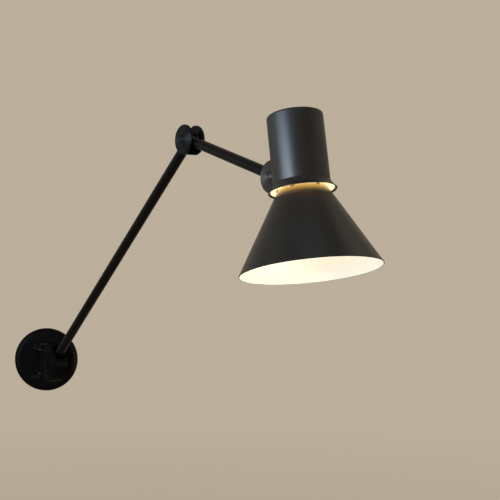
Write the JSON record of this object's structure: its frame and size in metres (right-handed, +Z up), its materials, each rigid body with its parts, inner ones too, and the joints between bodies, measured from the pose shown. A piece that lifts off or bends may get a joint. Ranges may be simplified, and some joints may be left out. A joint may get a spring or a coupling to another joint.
{
  "type": "articulating wall lamp",
  "caption": "Wall lamp with a round rose, a swivel base, two slim arms joined by drum-shaped friction pivots, and a black cone shade under a cylindrical housing.",
  "frame": {"origin": "centre of the wall rose, on the wall's surface", "axes": "+Y into the wall, +Z up, +X to the right for someone who faces the wall; the room is on the -Y side"},
  "size_m": [0.5165, 0.6372, 0.3949],
  "materials": {
    "black_casting": "satin black paint",
    "black_tube": "satin black paint",
    "black_shade": "satin black paint, white inside the cone",
    "black_screws": "blackened steel",
    "zinc_steel": "zinc plated",
    "spring_steel": "bright",
    "brass": "bright",
    "nylon": "matt",
    "white_plastic": "matt",
    "cable_jacket": "matt",
    "opal_glass": "opal"
  },
  "bodies": {
    "wall_mount": {"wall_bracket": "zinc_steel", "wall_rose": "black_tube", "cover_screws": "black_screws", "terminal_block": "white_plastic", "terminal_screws": "brass", "earth_screw": "brass", "earth_washer": "zinc_steel", "pan_yoke": "black_casting", "stem_washer": "zinc_steel", "stem_nut": "zinc_steel", "pan_bolt": "black_screws", "pan_nut": "black_screws", "pan_disc_spring": "spring_steel"},
    "base_swivel": {"base_knuckle": "black_casting", "pan_bushes": "nylon", "base_bolt": "black_screws", "base_nut": "black_screws", "base_disc_spring": "spring_steel", "base_friction_washers": "nylon"},
    "lower_arm": {"lower_arm_root": "black_casting", "lower_eye_bush": "nylon", "lower_tube": "black_tube", "elbow_knuckle": "black_casting", "elbow_bolt": "black_screws", "elbow_nut": "black_screws", "elbow_disc_spring": "spring_steel", "elbow_friction_washers": "nylon", "lower_grub_screws": "black_screws", "lower_cable": "cable_jacket"},
    "upper_arm": {"upper_arm_root": "black_casting", "upper_root_bush": "nylon", "upper_tube": "black_tube", "upper_arm_tip": "black_casting", "upper_tip_bush": "nylon", "upper_grub_screws": "black_screws", "upper_cable": "cable_jacket"},
    "head": {"head_knuckle": "black_casting", "head_bolt": "black_screws", "head_nut": "black_screws", "head_disc_spring": "spring_steel", "head_friction_washers": "nylon", "saddle_washer": "zinc_steel", "boss_nut": "zinc_steel", "upper_housing": "black_shade", "flared_collar": "black_shade", "cone_shade": "black_shade", "shade_carrier": "zinc_steel", "neck_rivets": "black_screws", "holder_strap": "zinc_steel", "holder_nipple": "zinc_steel", "nipple_nut": "zinc_steel", "lampholder": "white_plastic", "shade_ring": "white_plastic", "screw_shell": "brass", "centre_contact": "brass", "bulb_cap": "brass", "bulb_globe": "opal_glass", "head_cable": "cable_jacket"}
  },
  "joints": [
    {"name": "base_pan", "type": "hinge", "parent": "wall_mount", "child": "base_swivel", "pos_m": [0, -0.028, 0], "axis": [0, 0, 1], "range_deg": [-111.4, 38.6]},
    {"name": "base_tilt", "type": "hinge", "parent": "base_swivel", "child": "lower_arm", "pos_m": [0.02018, -0.05537, 0], "axis": [-0.8049, -0.5934, 0], "range_deg": [-6.9, 51.1]},
    {"name": "elbow", "type": "hinge", "parent": "lower_arm", "child": "upper_arm", "pos_m": [0.2422, -0.35652, 0.3241], "axis": [-0.8049, -0.5934, 0], "range_deg": [-34.4, 149.5]},
    {"name": "shade_tilt", "type": "hinge", "parent": "upper_arm", "child": "head", "pos_m": [0.35025, -0.50307, 0.26982], "axis": [-0.8049, -0.5934, 0], "range_deg": [-94.8, 50.2]}
  ]
}
